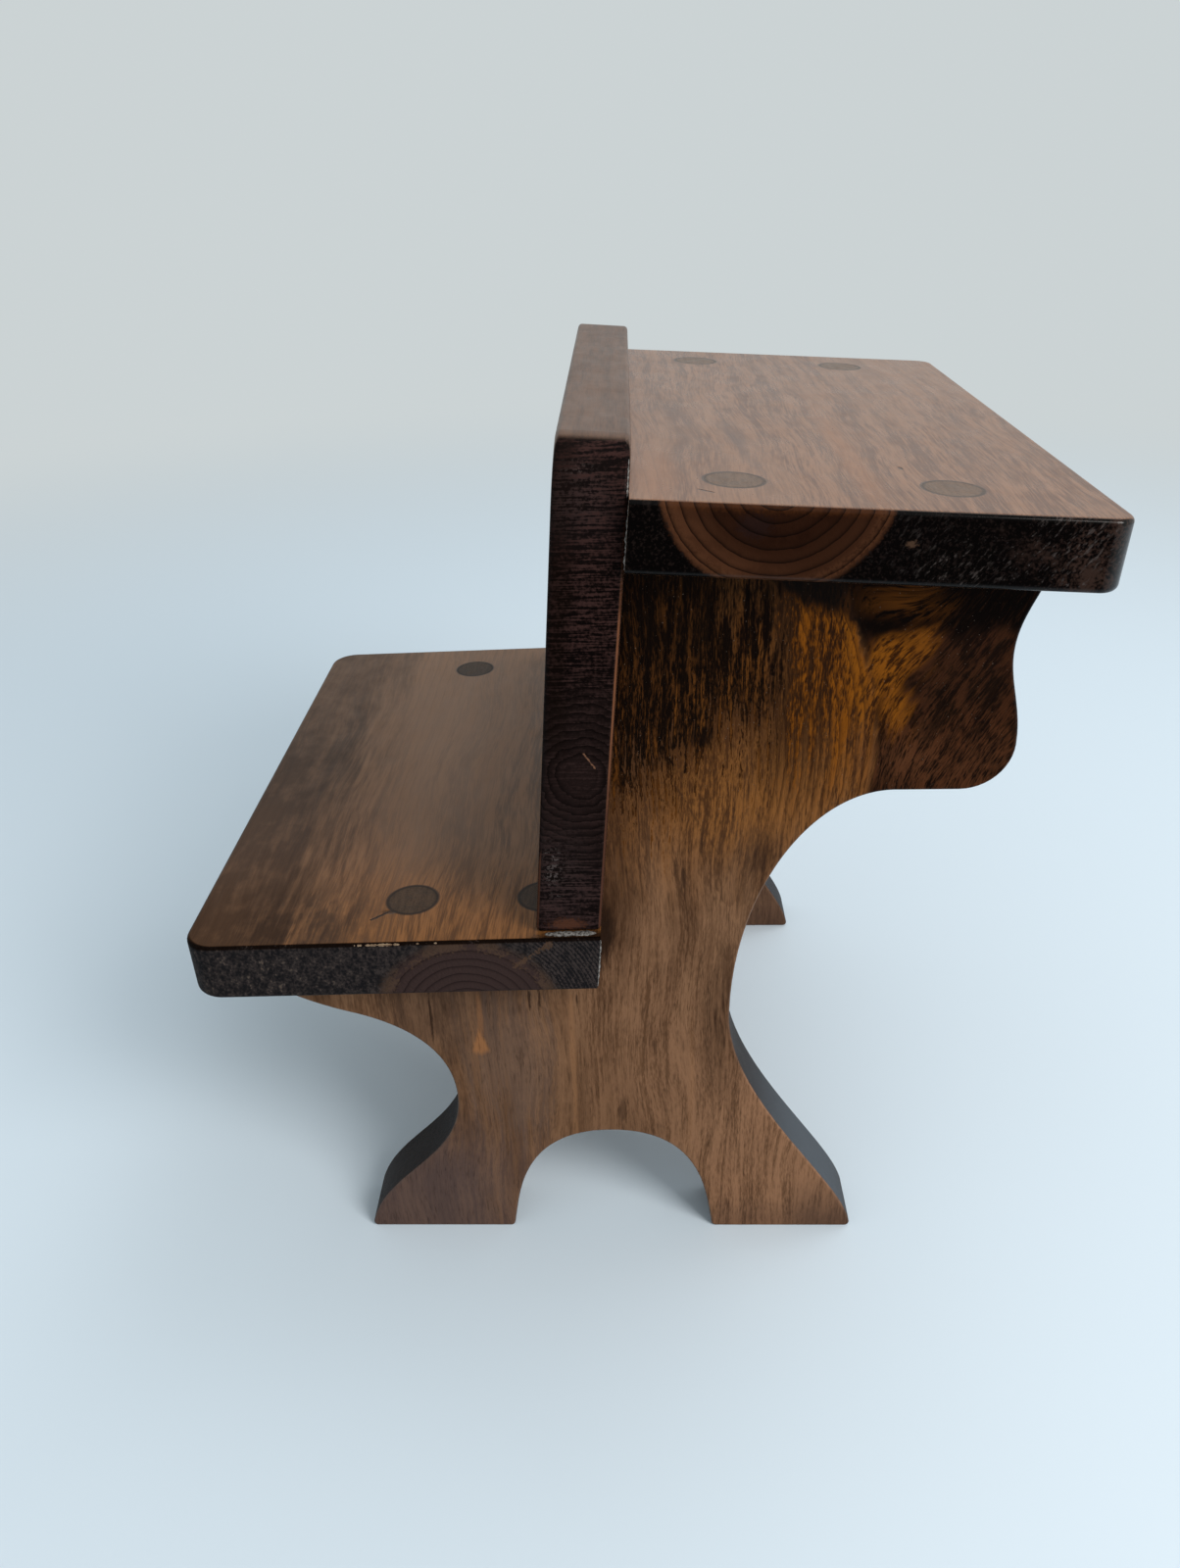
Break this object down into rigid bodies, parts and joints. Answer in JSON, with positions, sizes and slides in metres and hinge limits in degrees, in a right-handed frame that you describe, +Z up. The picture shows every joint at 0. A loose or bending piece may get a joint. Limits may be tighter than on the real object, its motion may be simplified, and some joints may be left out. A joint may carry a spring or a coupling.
{
  "type": "miniature school desk stand",
  "caption": "Small wooden display stand shaped like an old school desk: a seat, a raked backrest and a sloping desk top screwed to scroll-cut side panels.",
  "frame": {"origin": "on the floor under the middle of the bounding box", "axes": "+Z up from the floor, +X from the seat's front edge to the desk top's free edge, +Y across the side panels from the left one to the right one"},
  "size_m": [0.2566, 0.227, 0.2743],
  "materials": {
    "stained_wood": "dark walnut stain under satin varnish",
    "plug_wood": "dark walnut stain under satin varnish",
    "screw_steel": "zinc plated"
  },
  "bodies": {
    "root": {"seat": "stained_wood", "desk_top": "stained_wood", "backrest": "stained_wood", "left_side_panel": "stained_wood", "right_side_panel": "stained_wood", "seat_plug_rear_left": "plug_wood", "seat_plug_rear_right": "plug_wood", "seat_plug_front_left": "plug_wood", "seat_plug_front_right": "plug_wood", "desk_plug_inner_left": "plug_wood", "desk_plug_inner_right": "plug_wood", "desk_plug_outer_left": "plug_wood", "desk_plug_outer_right": "plug_wood", "backrest_plug_lower_left": "plug_wood", "backrest_plug_lower_right": "plug_wood", "backrest_plug_upper_left": "plug_wood", "backrest_plug_upper_right": "plug_wood", "seat_screw_rear_left": "screw_steel", "seat_screw_rear_right": "screw_steel", "seat_screw_front_left": "screw_steel", "seat_screw_front_right": "screw_steel", "desk_screw_inner_left": "screw_steel", "desk_screw_inner_right": "screw_steel", "desk_screw_outer_left": "screw_steel", "desk_screw_outer_right": "screw_steel", "backrest_screw_lower_left": "screw_steel", "backrest_screw_lower_right": "screw_steel", "backrest_screw_upper_left": "screw_steel", "backrest_screw_upper_right": "screw_steel"}
  },
  "joints": []
}
